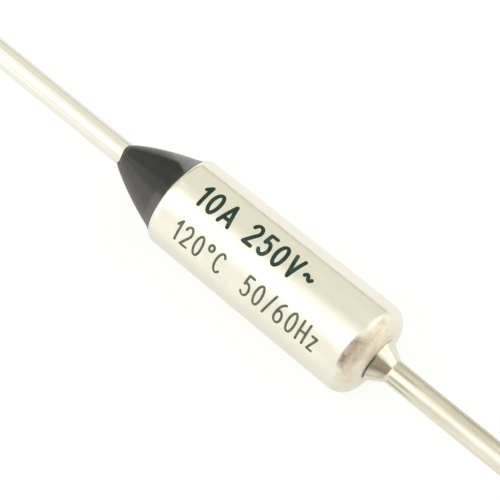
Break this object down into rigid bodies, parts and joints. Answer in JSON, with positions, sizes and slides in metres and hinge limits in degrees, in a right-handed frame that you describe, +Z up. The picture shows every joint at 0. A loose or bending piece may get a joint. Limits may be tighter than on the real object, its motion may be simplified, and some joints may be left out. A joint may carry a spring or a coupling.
{
  "type": "thermal fuse",
  "caption": "Axial thermal fuse: a plated round metal case with a pellet switch inside, a black resin cone round the isolated lead and a riveted lead at the rounded closed end.",
  "frame": {"origin": "on the axis, in the middle of the case, which is also the middle of the overall length", "axes": "+X along the axis towards the riveted case lead and the rounded closed end, -X towards the resin cone and the isolated lead, +Z up"},
  "size_m": [0.065, 0.004, 0.004],
  "materials": {
    "silver_plate": "satin silver plate on drawn brass",
    "tinned_wire": "bright tin on copper wire",
    "black_resin": "cast resin, half gloss",
    "bushing_ceramic": "plain fired ceramic",
    "spring_steel": "drawn spring wire",
    "contact_silver": "thin silver alloy sheet",
    "disc_brass": "blanked brass sheet",
    "pellet_organic": "pressed organic powder"
  },
  "bodies": {
    "root": {"case": "silver_plate", "case_lead": "tinned_wire", "isolated_lead": "tinned_wire", "sealing_resin": "black_resin", "ceramic_bushing": "bushing_ceramic", "trip_spring": "spring_steel", "star_contact": "contact_silver", "contact_disc": "disc_brass", "main_spring": "spring_steel", "pellet_disc": "disc_brass", "melting_pellet": "pellet_organic"}
  },
  "joints": []
}
